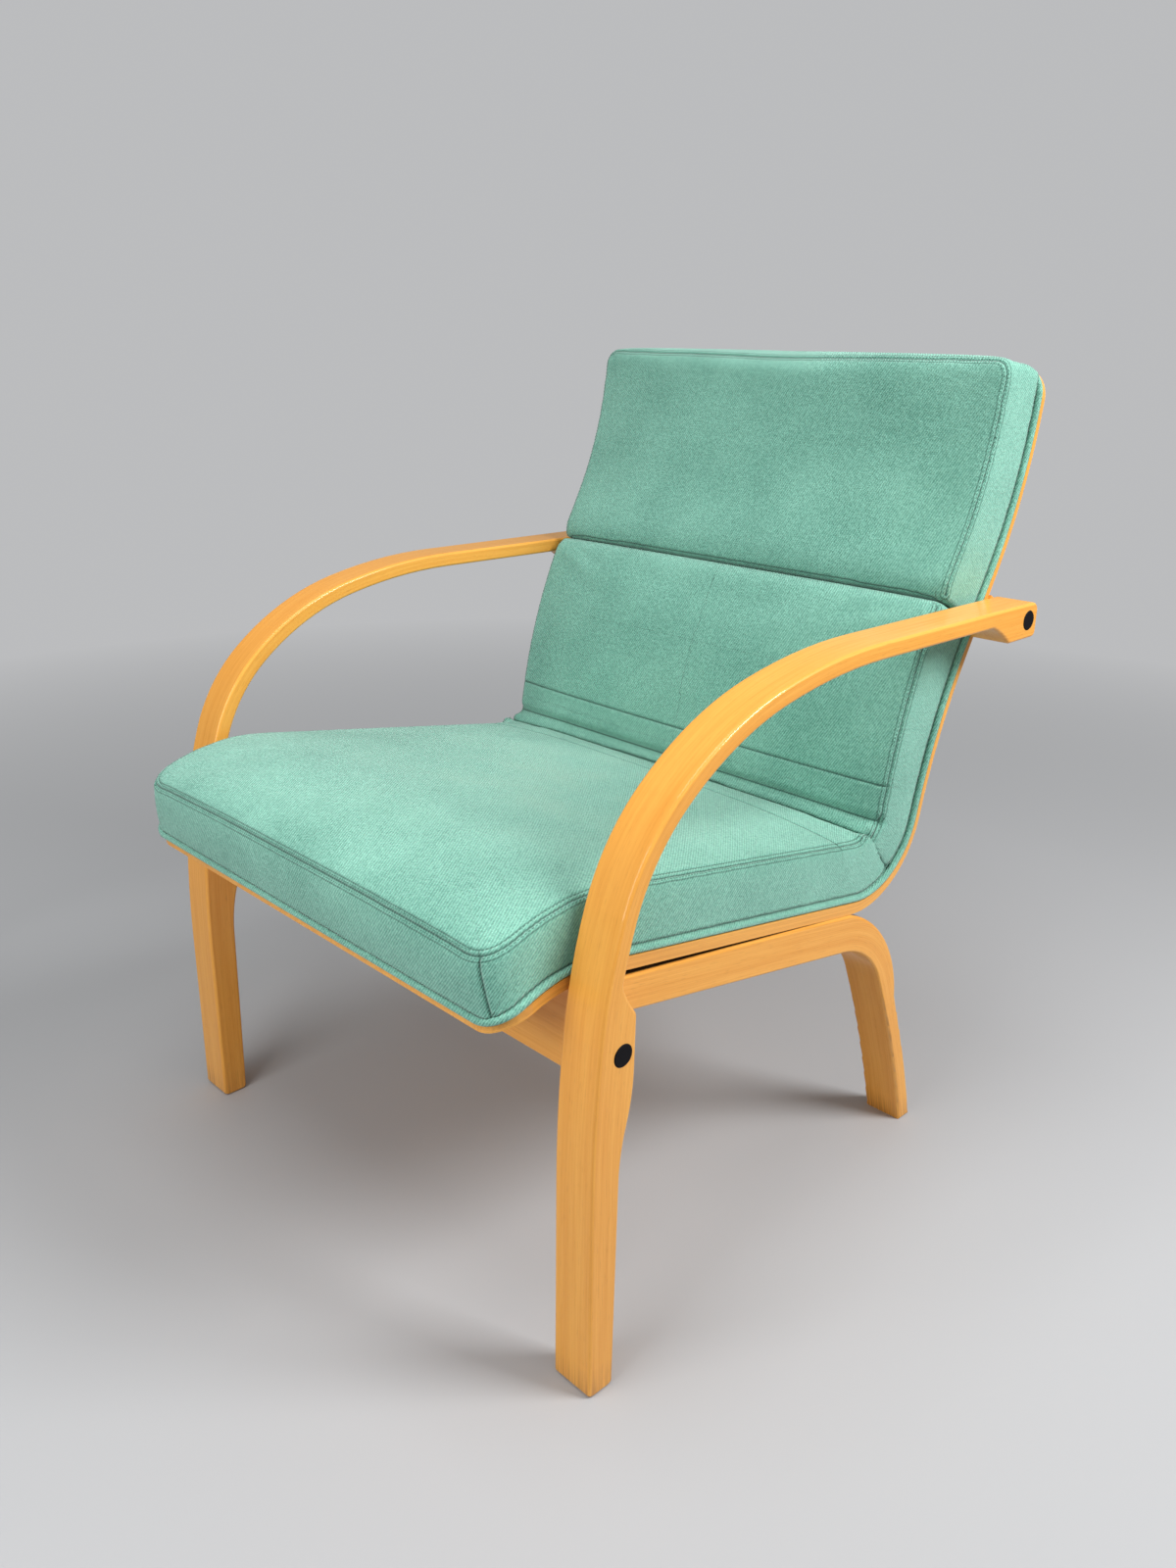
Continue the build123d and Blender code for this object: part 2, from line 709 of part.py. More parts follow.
pieces = {
    "arm_strip_left": arm_strip_left,
    "arm_strip_right": arm_strip_right,
    "leg_packing_left": leg_packing_left,
    "leg_packing_right": leg_packing_right,
    "arm_end_block_left": arm_end_block_left,
    "arm_end_block_right": arm_end_block_right,
    "rail_strip_left": rail_strip_left,
    "rail_strip_right": rail_strip_right,
    "rail_packing_left": rail_packing_left,
    "rail_packing_right": rail_packing_right,
    "front_crossbar": front_crossbar,
    "rear_crossbar": rear_crossbar,
    "seat_shell": seat_shell,
    "seat_cushion": seat_cushion,
    "back_cushion": back_cushion,
    "head_cushion": head_cushion,
    "frame_bolts": frame_bolts,
    "bolt_washers": bolt_washers,
    "bolt_caps": bolt_caps,
    "barrel_nuts": barrel_nuts,
    "rail_dowels": rail_dowels,
    "seat_screws": seat_screws,
    "back_screws": back_screws,
}
for label, piece in pieces.items():
    piece.part.label = label
    export_step(piece.part, f"parts/{label}.step")
    size = piece.part.bounding_box()
    print(label, piece.part.is_valid, len(piece.part.solids()), size.min, size.max)
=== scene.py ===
# %% [markdown]
# # A bentwood lounge chair
#
# The wooden frame, the plywood shell and the bolts come ready made from the CAD model. This lesson
# gives them their finish, and makes what a CAD solid can't show: the stuffed pads in their wool cover,
# with their seams, stitches, folds and welt.

# %% Load the frame
import math

import bpy
import numpy as np
from mathutils import Matrix, Vector
from mathutils.kdtree import KDTree


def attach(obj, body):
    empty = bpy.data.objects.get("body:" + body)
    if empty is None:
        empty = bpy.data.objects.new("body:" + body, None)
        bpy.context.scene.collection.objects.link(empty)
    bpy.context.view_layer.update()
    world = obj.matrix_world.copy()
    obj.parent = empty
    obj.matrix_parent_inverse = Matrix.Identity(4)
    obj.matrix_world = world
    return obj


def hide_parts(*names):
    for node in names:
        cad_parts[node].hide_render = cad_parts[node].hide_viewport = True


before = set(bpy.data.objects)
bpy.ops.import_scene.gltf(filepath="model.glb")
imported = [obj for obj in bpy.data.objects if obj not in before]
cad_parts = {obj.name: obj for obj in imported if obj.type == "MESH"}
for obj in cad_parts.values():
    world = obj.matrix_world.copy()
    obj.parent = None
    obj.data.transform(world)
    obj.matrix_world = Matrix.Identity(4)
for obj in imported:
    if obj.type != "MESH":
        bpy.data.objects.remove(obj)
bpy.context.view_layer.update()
scene = bpy.context.scene
scene.view_settings.view_transform = "Standard"

# %% [markdown]
# ## Camera
#
# The chair is seen from the front and from its left side, a little from above. The camera's place and
# turn were found by fitting the feet and the two arm curves, which are equal, to the picture. A matrix
# takes the three turns in a fixed order: aim, tilt down, then a small roll about the line of sight.

# %% Place the camera
camera_place = Matrix.Translation((0.91748, -0.88429, 0.85303))
camera_aim = Matrix.Rotation(0.8023, 4, "Z")
camera_tilt = Matrix.Rotation(math.pi / 2 - 0.3484, 4, "X")
camera_roll = Matrix.Rotation(0.0062, 4, "Z")
bpy.ops.object.camera_add()
camera = bpy.context.object
camera.matrix_world = camera_place @ camera_aim @ camera_tilt @ camera_roll
camera.data.sensor_width = 36
camera.data.lens = 28.86
scene.camera = camera
print("camera", camera.location, "lens", camera.data.lens)

# %% [markdown]
# ## Helpers for the whole lesson
#
# Operators work on what is selected, and the CAD nodes are selected after loading, so each step first
# wakes just its own piece. Node trees are written with short helpers: one adds a node and fills its
# inputs, and the others use it for a sum, a blend, a change of range, a coordinate or a soft noise.

# %% Helpers
def wake(piece):
    """Select this piece alone and make it the active one."""
    if bpy.context.object and bpy.context.object.mode != "OBJECT":
        bpy.ops.object.mode_set(mode="OBJECT")
    bpy.ops.object.select_all(action="DESELECT")
    piece.select_set(True)
    bpy.context.view_layer.objects.active = piece


def apply_modifiers(piece):
    """Make all modifiers of a piece permanent, in order."""
    wake(piece)
    for name in [modifier.name for modifier in piece.modifiers]:
        bpy.ops.object.modifier_apply(modifier=name)


def add(tree, kind, inputs=None, **settings):
    """A new shader node with its settings, its inputs linked or set."""
    made = tree.nodes.new("ShaderNode" + kind)
    for name, value in settings.items():
        setattr(made, name, value)
    for name, value in (inputs or {}).items():
        if isinstance(value, bpy.types.NodeSocket):
            tree.links.new(value, made.inputs[name])
        else:
            made.inputs[name].default_value = value
    return made


def maths(tree, operation, *values):
    """The result of one sum in a node tree."""
    return add(tree, "Math", dict(enumerate(values)), operation=operation).outputs[0]


def blank_material(name):
    """A material with only its output and its main shader."""
    material = bpy.data.materials.new(name)
    material.use_nodes = True
    tree = material.node_tree
    return material, tree, tree.nodes["Principled BSDF"]


def blend_colours(tree, share, first, second):
    """A colour between two others."""
    mix = add(tree, "Mix", {0: share}, data_type="RGBA")
    for socket, colour in ((mix.inputs[6], first), (mix.inputs[7], second)):
        if isinstance(colour, bpy.types.NodeSocket):
            tree.links.new(colour, socket)
        else:
            socket.default_value = (*colour, 1)
    return mix.outputs[2]


def stretch(tree, value, low, high, to_low=0.0, to_high=1.0):
    """A value taken from one range to another, and held at its ends."""
    inputs = {"Value": value, "From Min": low, "From Max": high, "To Min": to_low, "To Max": to_high}
    return add(tree, "MapRange", inputs, clamp=True).outputs[0]


def coordinates(tree):
    """The place of a point in the chair's own frame."""
    return add(tree, "TexCoord").outputs["Object"]


def dot_with(tree, where, way):
    """How far a place lies along a direction."""
    return add(tree, "VectorMath", {0: where, 1: way}, operation="DOT_PRODUCT").outputs["Value"]


def noise(tree, where, scale, detail, roughness=0.5):
    """A soft random value through space."""
    inputs = {"Vector": where, "Scale": scale, "Detail": detail, "Roughness": roughness}
    return add(tree, "TexNoise", inputs).outputs[0]


# %% [markdown]
# ## Floor and light
#
# A plain pale floor and soft lamps, so that the finishes show as they are. Away from the chair the floor
# fades into the plain colour of the backdrop, so no horizon shows. One lamp hangs to the right and
# behind, which makes the right-hand boxing of the head pad the brightest cloth and draws the long
# highlights on the arms. The front lamp stands close, so the front of the chair is brighter than its back.

# %% Floor
bpy.ops.object.select_all(action="DESELECT")
bpy.ops.mesh.primitive_plane_add(size=60)
floor = bpy.context.object
floor.name = "studio_floor"
floor_paint, tree, shader = blank_material("pale_floor")
shader.inputs["Base Color"].default_value = (0.43, 0.435, 0.445, 1)
shader.inputs["Roughness"].default_value = 0.6
backdrop = (0.50, 0.505, 0.515)
fade_start = 0.9
fade_end = 2.6
from_chair = add(tree, "VectorMath", {0: coordinates(tree)}, operation="LENGTH")
far_off = stretch(tree, from_chair.outputs["Value"], fade_start, fade_end)
seen = add(tree, "LightPath").outputs["Is Camera Ray"]
plain = add(tree, "Emission", {"Color": (*backdrop, 1), "Strength": 1.0})
fade = add(tree, "MixShader", {0: maths(tree, "MULTIPLY", far_off, seen)})
tree.links.new(shader.outputs[0], fade.inputs[1])
tree.links.new(plain.outputs[0], fade.inputs[2])
tree.links.new(fade.outputs[0], tree.nodes["Material Output"].inputs["Surface"])
floor.data.materials.append(floor_paint)
print("floor fades into the backdrop from", fade_start, "to", fade_end, "m")

# %% Lamps
def soft_lamp(name, place, aim, size, watts):
    """A square soft lamp, aimed at a point."""
    bpy.ops.object.light_add(type="AREA", location=place)
    lamp = bpy.context.object
    lamp.name = name
    lamp.data.size = size
    lamp.data.energy = watts
    lamp.rotation_euler = (Vector(aim) - Vector(place)).to_track_quat("-Z", "Y").to_euler()
    return lamp


middle = (0, 0, 0.4)
soft_lamp("right_lamp", (1.5, 0.6, 1.75), (0, 0.1, 0.6), 0.8, 46)
soft_lamp("overhead_lamp", (0.1, -0.5, 2.8), middle, 1.4, 28)
soft_lamp("front_lamp", (0.15, -1.45, 1.0), middle, 0.9, 12)
world = bpy.data.worlds.new("studio")
scene.world = world
world.use_nodes = True
tree = world.node_tree
sky = tree.nodes["Background"]
seen = add(tree, "LightPath").outputs["Is Camera Ray"]
tree.links.new(blend_colours(tree, seen, (0.26, 0.265, 0.27), backdrop), sky.inputs["Color"])

# %% [markdown]
# ## The bent lines of the frame
#
# The arms, rails and shell are bent strips, so their side views are lines of straight runs and arcs. The
# same lines serve twice here: the wood grain and the glue lines of the plies follow them, and the seams
# of the pads are laid along them. A run is a length with no turn, or a radius with a turn to the left in
# degrees.

# %% Bent lines
def bent_line(start, heading, runs):
    """The runs of a side view line, each with its start, its way, its length and its arc centre."""
    line = []
    point = Vector(start)
    angle = math.radians(heading)
    for size, turn in runs:
        way = Vector((math.cos(angle), math.sin(angle)))
        left = Vector((-way.y, way.x))
        swing = math.radians(turn)
        if turn:
            centre = point + left * math.copysign(size, turn)
            line.append({"at": point, "way": way, "length": size * abs(swing), "centre": centre,
                         "radius": size, "swing": swing, "angle": angle})
            point = centre + Matrix.Rotation(swing, 2) @ (point - centre)
            angle += swing
        else:
            line.append({"at": point, "way": way, "length": size, "centre": None,
                         "radius": 0, "swing": 0, "angle": angle})
            point = point + way * size
    line.append({"at": point, "angle": angle})
    return line


def line_length(line):
    return sum(run["length"] for run in line[:-1])


def on_line(line, travel, lift=0.0):
    """The point at a travel along the line and a lift to its left."""
    for run in line[:-1]:
        if travel <= run["length"] or run is line[-2]:
            break
        travel -= run["length"]
    if run["centre"]:
        turn = run["swing"] * travel / run["length"]
        point = run["centre"] + Matrix.Rotation(turn, 2) @ (run["at"] - run["centre"])
        angle = run["angle"] + turn
    else:
        point = run["at"] + run["way"] * travel
        angle = run["angle"]
    return point + Vector((-math.sin(angle), math.cos(angle))) * lift


# %% Line of the shell
crest = Vector((0.027, 0.3679))
waterfall_radius = 0.130
seat_rake = 10
seat_run = 0.3605
seat_way = Vector((math.cos(math.radians(seat_rake)), -math.sin(math.radians(seat_rake))))
fold_radius = 0.098
fold_turn = 88
lumbar_radius = 0.583
lumbar_turn = 17
back_run = 0.085
head_radius = 0.500
head_turn = 24.5
shell_thickness = 0.012
shell_thinning = 0.006
shell_front = -0.048
pad_front = -0.059


def over_seat(lift, front, early_fall, late_fold, rest):
    """A line over the seat at a lift: its falling front, its straight run, then the rest of its runs."""
    centre = crest - Vector((0, waterfall_radius)) + seat_way * early_fall
    radius = waterfall_radius + lift
    rise = math.degrees(math.asin((centre.x - front) / radius))
    start = Vector((front, centre.y + radius * math.cos(math.radians(rise))))
    front_fall = (radius, -rise - seat_rake)
    straight_seat = (seat_run - early_fall + late_fold, 0)
    return bent_line(start, rise, (front_fall, straight_seat, *rest))


def up_the_back(lift):
    """The runs of the fold, the lower back, its straight part and the head at a lift."""
    return ((fold_radius - lift, fold_turn), (lumbar_radius + lift, -lumbar_turn), (back_run, 0),
            (head_radius - lift, head_turn))


shell_line = over_seat(0, shell_front, 0, 0, up_the_back(0))
shell_upper = over_seat(shell_thickness, shell_front, shell_thinning, shell_thinning,
                        up_the_back(shell_thickness))
toe_y = -(pad_front + shell_line[-1]["at"].x) / 2


def place(x, point):
    """A point of the side view, given from the front toe, as a point of the chair."""
    return Vector((x, point.x + toe_y, point.y))


print("shell", round(line_length(shell_line), 4), "m long, toe at", round(toe_y, 5))

# %% [markdown]
# ## Lacquered beech
#
# The frame is beech veneer, glued in the bent form and lacquered a honey colour. Its faces show soft
# streaks along the strip and short dark flecks, and the edges show the plies as thin lines. The node
# trees need three measures at each point: how far along the strip, how far across it, and how deep in
# the stack of plies. The depth comes from the bent line: the distance to each arc's centre, switched
# from one run to the next at the line that divides them. Two places are dark: the ends of the legs,
# which are scuffed, and the tops of the rails in the gap under the shell, which carry painted shade
# for the shadow of the shell there.

# %% Depth in a bent strip
def side_view(tree):
    """The coordinates of a point, and the same with no width."""
    where = coordinates(tree)
    flat = add(tree, "VectorMath", {0: where, 1: (0, 1, 1)}, operation="MULTIPLY").outputs[0]
    return where, flat


def left_of_line(tree, flat, line):
    """How far a point lies to the left of a bent line, as a socket."""
    found = None
    for run in line[:-1]:
        at = place(0, run["at"])
        way = Vector((0, run["way"].x, run["way"].y))
        from_start = add(tree, "VectorMath", {0: flat, 1: at}, operation="SUBTRACT").outputs[0]
        if run["centre"]:
            apart = add(tree, "VectorMath", {0: flat, 1: place(0, run["centre"])}, operation="DISTANCE")
            lift = maths(tree, "SUBTRACT", apart.outputs["Value"], run["radius"])
            if run["swing"] > 0:
                lift = maths(tree, "MULTIPLY", lift, -1)
        else:
            lift = dot_with(tree, from_start, (0, -way.z, way.y))
        if found is None:
            found = lift
            continue
        past = maths(tree, "GREATER_THAN", dot_with(tree, from_start, way), 0)
        found = add(tree, "Mix", {0: past, 2: found, 3: lift}).outputs[0]
    return found


# %% Lacquered wood
vein = 0.00045
shine = 0.3
scuffed = (0.12, 0.06, 0.03)
scuff_height = 0.03
# Painted shade: a near-black brown laid on the rail tops in the gap under the shell, for the shadow there.
gap_shade_colour = (0.02, 0.01, 0.005)


def lacquered_wood(name, pale, dark, measures, ply, glue=0.45, painted_gap_shade=None):
    """Wood under clear lacquer. measures gives the along, across and depth sockets."""
    material, tree, shader = blank_material(name)
    where, flat = side_view(tree)
    along, across, depth = measures(tree, where, flat)
    step = maths(tree, "FLOOR", maths(tree, "MULTIPLY_ADD", depth, 1 / vein, 0.5))
    layer_depth = maths(tree, "MULTIPLY", step, vein)
    grain_place = add(tree, "CombineXYZ", {0: along, 1: across, 2: layer_depth}).outputs[0]

    def streaks(length, width, detail):
        scaled = add(tree, "VectorMath", {0: grain_place, 1: (1 / length, 1 / width, 1 / width)},
                     operation="MULTIPLY").outputs[0]
        return noise(tree, scaled, 1.0, detail)

    broad = stretch(tree, streaks(0.45, 0.016, 3.0), 0.3, 0.7)
    fine = stretch(tree, streaks(0.09, 0.0022, 2.0), 0.35, 0.7)
    flecks = stretch(tree, streaks(0.012, 0.0009, 1.0), 0.62, 0.74)

    layer = maths(tree, "MULTIPLY_ADD", depth, 1 / ply, 0.5)
    sheet = maths(tree, "FLOOR", layer)
    sheet_tone = add(tree, "TexWhiteNoise", {"W": sheet}, noise_dimensions="1D").outputs["Value"]
    edge = maths(tree, "ABSOLUTE", maths(tree, "SUBTRACT", maths(tree, "FRACT", layer), 0.5))
    glue_line = stretch(tree, edge, 0.43, 0.5)
    glue_line = maths(tree, "MULTIPLY", glue_line, stretch(tree, broad, 0.0, 1.0, 0.5, 1.0))

    tone = maths(tree, "MULTIPLY_ADD", broad, 0.35, maths(tree, "MULTIPLY", fine, 0.40))
    tone = maths(tree, "MULTIPLY_ADD", sheet_tone, 0.2, tone)
    colour = blend_colours(tree, tone, pale, dark)
    deep = tuple(0.55 * part for part in dark)
    colour = blend_colours(tree, maths(tree, "MULTIPLY", flecks, 0.25), colour, deep)
    colour = blend_colours(tree, maths(tree, "MULTIPLY", glue_line, glue), colour, deep)
    low = dot_with(tree, where, (0, 0, 1))
    scuff = maths(tree, "MULTIPLY", stretch(tree, low, 0.0, scuff_height, 0.5, 0.0), fine)
    colour = blend_colours(tree, scuff, colour, scuffed)
    # Painted shade in the gap under the shell, where the rail top lies in shadow.
    if painted_gap_shade:
        colour = blend_colours(tree, painted_gap_shade(tree, where, flat), colour, gap_shade_colour)
    tree.links.new(colour, shader.inputs["Base Color"])

    worn = stretch(tree, fine, 0.0, 1.0, shine, shine + 0.12)
    tree.links.new(worn, shader.inputs["Roughness"])
    rise = maths(tree, "MULTIPLY_ADD", flecks, -0.6, maths(tree, "MULTIPLY", fine, 0.4))
    rise = maths(tree, "MULTIPLY_ADD", glue_line, -0.5, rise)
    bump = add(tree, "Bump", {"Height": rise, "Strength": 0.15, "Distance": 0.0004})
    tree.links.new(bump.outputs[0], shader.inputs["Normal"])
    shader.inputs["Coat Weight"].default_value = 0.4
    shader.inputs["Coat Roughness"].default_value = 0.09
    shader.inputs["Specular IOR Level"].default_value = 0.2
    return material


# %% Wood of the frame
arm_bends = ((1.300, -6), (0.480, -12.5), (0.190, -31), (0.295, -27), (0.600, -13.5))
leg_lean = 0.5
leg_straight = 0.199743
arm_line = bent_line((0, 0), 90 - leg_lean, ((leg_straight, 0), *arm_bends, (0.1, 0)))
rail_line = bent_line((0.045, 0.329), -10.5, ((0.356, 0), (0.097, -56.5), (1.460, -10)))


# Where the painted shade of the gap under the shell lies: across the side, and below the shell.
gap_shade_width = (0.2825, 0.2845)
gap_shade_depth = (-0.0085, -0.006)


def strip_measures(line, along, depth_side):
    """The three measures of a strip bent to a line, with its plies on one side of the line."""
    def measures(tree, where, flat):
        depth = maths(tree, "MULTIPLY", left_of_line(tree, flat, line), depth_side)
        return dot_with(tree, where, along), dot_with(tree, where, (1, 0, 0)), depth
    return measures


def bar_measures(tree, where, flat):
    """The three measures of a straight piece that lies across the chair."""
    return [dot_with(tree, where, way) for way in ((1, 0, 0), (0, 0, 1), (0, 1, 0))]


def under_shell(tree, where, flat):
    """Painted shade: one on the face of the rail in the gap under the shell, where the shell's shadow
    falls.
    """
    lift = left_of_line(tree, flat, shell_line)
    side = maths(tree, "ABSOLUTE", dot_with(tree, where, (1, 0, 0)))
    inside = stretch(tree, side, *gap_shade_width, 1.0, 0.0)
    return maths(tree, "MULTIPLY", stretch(tree, lift, *gap_shade_depth), inside)


arm_measures = strip_measures(arm_line, (0, 0.8, 0.8), -1)
rail_measures = strip_measures(rail_line, (0, 0.8, -0.8), 1)
shell_measures = strip_measures(shell_line, (0, 0.8, 0.8), 1)

# %% Kinds of beech
honey = (0.88, 0.43, 0.082)
amber = (0.72, 0.285, 0.036)
russet = (0.62, 0.26, 0.05)
raw_pale = (0.70, 0.50, 0.30)
raw_dark = (0.55, 0.36, 0.2)
arm_beech = lacquered_wood("arm_beech", honey, amber, arm_measures, ply=0.016 / 9)
rail_beech = lacquered_wood("rail_beech", honey, amber, rail_measures, ply=0.002, painted_gap_shade=under_shell)
bar_beech = lacquered_wood("bar_beech", honey, amber, bar_measures, ply=0.006, glue=0.1)
shell_ply = lacquered_wood("shell_ply", honey, russet, shell_measures, ply=0.0015, glue=0.6)
dowel_beech = lacquered_wood("dowel_beech", raw_pale, raw_dark, bar_measures, ply=0.01, glue=0.0)
print("arm line", round(line_length(arm_line), 3), "rail line", round(line_length(rail_line), 3))

# %% [markdown]
# ## Caps and fasteners
#
# The bolt holes are closed with matt black plastic caps. Under them sit zinc plated bolts. Both get a
# fine grain in their roughness, so that they don't look like a single flat colour.

# %% Plastic and steel
def speckled(name, base, other, roughness, metallic, size, gloss=0.5):
    """A moulded or plated finish with a fine grain."""
    material, tree, shader = blank_material(name)
    grain = noise(tree, coordinates(tree), 1 / size, 4.0)
    tree.links.new(blend_colours(tree, grain, base, other), shader.inputs["Base Color"])
    polish = stretch(tree, grain, 0.3, 0.7, roughness - 0.08, roughness + 0.08)
    tree.links.new(polish, shader.inputs["Roughness"])
    bump = add(tree, "Bump", {"Height": grain, "Strength": 0.15, "Distance": 0.0002})
    tree.links.new(bump.outputs[0], shader.inputs["Normal"])
    shader.inputs["Metallic"].default_value = metallic
    shader.inputs["Specular IOR Level"].default_value = gloss
    return material


black = (0.006, 0.006, 0.007)
soft_black = (0.009, 0.008, 0.010)
cap_plastic = speckled("cap_plastic", black, soft_black, 0.6, 0.0, 0.0006, gloss=0.06)
zinc_steel = speckled("zinc_steel", (0.58, 0.58, 0.57), (0.68, 0.67, 0.62), 0.34, 1.0, 0.0015)
print("finishes", cap_plastic.name, zinc_steel.name)

# %% Finish the CAD pieces
finishes = {
    arm_beech: ("arm_strip_left", "arm_strip_right", "leg_packing_left", "leg_packing_right",
                "arm_end_block_left", "arm_end_block_right"),
    rail_beech: ("rail_strip_left", "rail_strip_right", "rail_packing_left", "rail_packing_right"),
    bar_beech: ("front_crossbar", "rear_crossbar"),
    shell_ply: ("seat_shell",),
    cap_plastic: ("bolt_caps",),
    zinc_steel: ("frame_bolts", "bolt_washers", "barrel_nuts", "seat_screws", "back_screws"),
    dowel_beech: ("rail_dowels",),
}
for finish, nodes in finishes.items():
    for node in nodes:
        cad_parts[node].material_slots[0].material = finish
    print(finish.name, "on", len(nodes), "pieces")

# %% [markdown]
# ## Wool cover
#
# The cover is a sea-green wool twill: slanting ribs a little over two millimetres apart, made of yarn
# that is slightly felted. One slanted wave through space gives slanting ribs on the seat, on the back
# and on the boxing alike, so no unwrapping is needed. Two attributes, seam and tuck, are written on the
# pads later. They tell how far a point lies left or right of the nearest line of sewing, so the cloth
# can darken and dip there in a crisp line, however coarse the mesh is.

# %% Twill
seam_zero = 0.05
row_gap = 0.0048
rib = 0.0024
seat_middle = (0.02, -0.06, 0.44)
middle_grey = (0.23, 0.33, 0.24)
seam_shadow = (0.018, 0.07, 0.05)


def hump(tree, value, width):
    """One at zero, falling away smoothly on both sides."""
    share = maths(tree, "DIVIDE", value, width)
    return maths(tree, "EXPONENT", maths(tree, "MULTIPLY", maths(tree, "MULTIPLY", share, share), -1))


def from_sewing(tree, name):
    """How far a point lies from the nearest sewn line, as an attribute of the pad tells it."""
    written = add(tree, "Attribute", attribute_name=name).outputs["Fac"]
    return maths(tree, "SUBTRACT", written, seam_zero)


def wool_twill(name, pale, dark):
    """Felted wool twill with a soft sheen."""
    material, tree, shader = blank_material(name)
    where = coordinates(tree)
    waver = noise(tree, where, 160.0, 2.0)
    slant = dot_with(tree, where, (1.0, 0.75, -0.75))
    pitch = maths(tree, "MULTIPLY", slant, 2 * math.pi / rib / 1.25)
    turns = maths(tree, "MULTIPLY_ADD", waver, 1.1, pitch)
    ribs = maths(tree, "MULTIPLY_ADD", maths(tree, "SINE", turns), 0.5, 0.5)
    felt = stretch(tree, noise(tree, where, 560.0, 3.0, 0.7), 0.3, 0.7)
    nubs = stretch(tree, noise(tree, where, 330.0, 2.0, 0.6), 0.40, 0.60)
    clouds = noise(tree, where, 11.0, 5.0)
    height = maths(tree, "MULTIPLY_ADD", nubs, 0.25, maths(tree, "MULTIPLY", felt, 0.33))
    height = maths(tree, "MULTIPLY_ADD", ribs, 0.42, height)
    mottle = maths(tree, "MULTIPLY", stretch(tree, clouds, 0.3, 0.7), 0.2)
    colour = blend_colours(tree, maths(tree, "MULTIPLY_ADD", height, 0.8, mottle), dark, pale)

    # Darker and greyer towards the middle of the seat, broken up by the large clouds.
    apart = add(tree, "VectorMath", {0: where, 1: seat_middle}, operation="DISTANCE")
    near_middle = stretch(tree, apart.outputs["Value"], 0.05, 0.26, 0.30, 0.0)
    middle_darkening = maths(tree, "MULTIPLY", near_middle, stretch(tree, clouds, 0.4, 0.65))
    colour = blend_colours(tree, middle_darkening, colour, middle_grey)

    seam = from_sewing(tree, "seam")
    tuck = from_sewing(tree, "tuck")
    beside = maths(tree, "SUBTRACT", maths(tree, "ABSOLUTE", seam), row_gap)
    shadow = maths(tree, "MAXIMUM", hump(tree, seam, 0.0010), hump(tree, tuck, 0.0009))
    shadow = maths(tree, "MULTIPLY_ADD", hump(tree, beside, 0.0007), 0.75, shadow)
    shadow = maths(tree, "MINIMUM", maths(tree, "MULTIPLY", shadow, 0.85), 1.0)
    colour = blend_colours(tree, shadow, colour, seam_shadow)
    tree.links.new(colour, shader.inputs["Base Color"])

    dip = maths(tree, "MULTIPLY_ADD", hump(tree, beside, 0.0012), 0.5, hump(tree, seam, 0.0014))
    dip = maths(tree, "MAXIMUM", dip, hump(tree, tuck, 0.0014))
    sewn = add(tree, "Bump", {"Height": dip, "Strength": 0.7, "Distance": 0.0012}, invert=True)
    weave = {"Height": height, "Strength": 0.8, "Distance": 0.0014, "Normal": sewn.outputs[0]}
    woven = add(tree, "Bump", weave)
    tree.links.new(woven.outputs[0], shader.inputs["Normal"])
    shader.inputs["Roughness"].default_value = 0.92
    shader.inputs["Sheen Weight"].default_value = 0.3
    shader.inputs["Sheen Roughness"].default_value = 0.5
    shader.inputs["Specular IOR Level"].default_value = 0.2
    return material


cover_cloth = wool_twill("cover_cloth", (0.33, 0.70, 0.555), (0.045, 0.205, 0.15))
# Painted shade: the thread is the cloth's green, coloured darker here for the shade of the stitch holes it
# lies in.
stitch_thread_painted_shade = speckled("stitch_thread_painted_shade", (0.05, 0.16, 0.12), (0.08, 0.22, 0.165), 0.7, 0.0, 0.0008)
print("cloth with ribs", rib, "m apart, rows of stitches", row_gap, "m from the seam")

# %% [markdown]
# ## Lines of the pads
#
# Each pad is a box cushion bent to the shell: a top panel, a strip called the boxing round its sides, and
# a seam between them. These lines give the upper face of each pad in the side view. The seat falls a
# little earlier than the shell, the lower back leans away from the shell, and the head pad is thicker
# than the back, so a deep crease runs under it.

# %% Upper faces
pad_half = 0.281
pad_crown = 0.008
seat_lift = shell_thickness + 0.063
back_lift = shell_thickness + 0.054
head_lift = shell_thickness + 0.063
fold = shell_line[2]
straight_back = shell_line[4]

seat_early_fall = 0.018
seat_fold_turn = 42.8
seat_top = over_seat(seat_lift, pad_front, seat_early_fall, 0,
                     ((fold_radius - seat_lift, seat_fold_turn),))

back_heading = 35.2
back_fold_turn = 46.1
back_straight = 0.03075
back_fold_radius = fold_radius - back_lift
back_way = Matrix.Rotation(math.radians(back_heading - 90), 2)
back_edge = fold["centre"] + back_way @ Vector((back_fold_radius, 0))
back_top = bent_line(back_edge, back_heading,
                     ((back_fold_radius, back_fold_turn), (lumbar_radius + back_lift, -lumbar_turn),
                      (back_straight, 0)))

crease_run = 0.03125
head_heading = fold_turn - seat_rake - lumbar_turn
head_face_radius = head_radius - head_lift
head_overhang = math.degrees(0.012 / head_face_radius)
head_edge = straight_back["at"] + straight_back["way"] * crease_run
head_edge = head_edge + Vector((-straight_back["way"].y, straight_back["way"].x)) * head_lift
head_top = bent_line(head_edge, head_heading,
                     ((back_run - crease_run, 0), (head_face_radius, head_turn + head_overhang)))


def upper(line, x, travel, drop=0.0):
    """A point of a pad's crowned upper face, or a drop below it."""
    crown = pad_crown * (1 - (x / pad_half) ** 4)
    return place(x, on_line(line, travel, crown - drop))


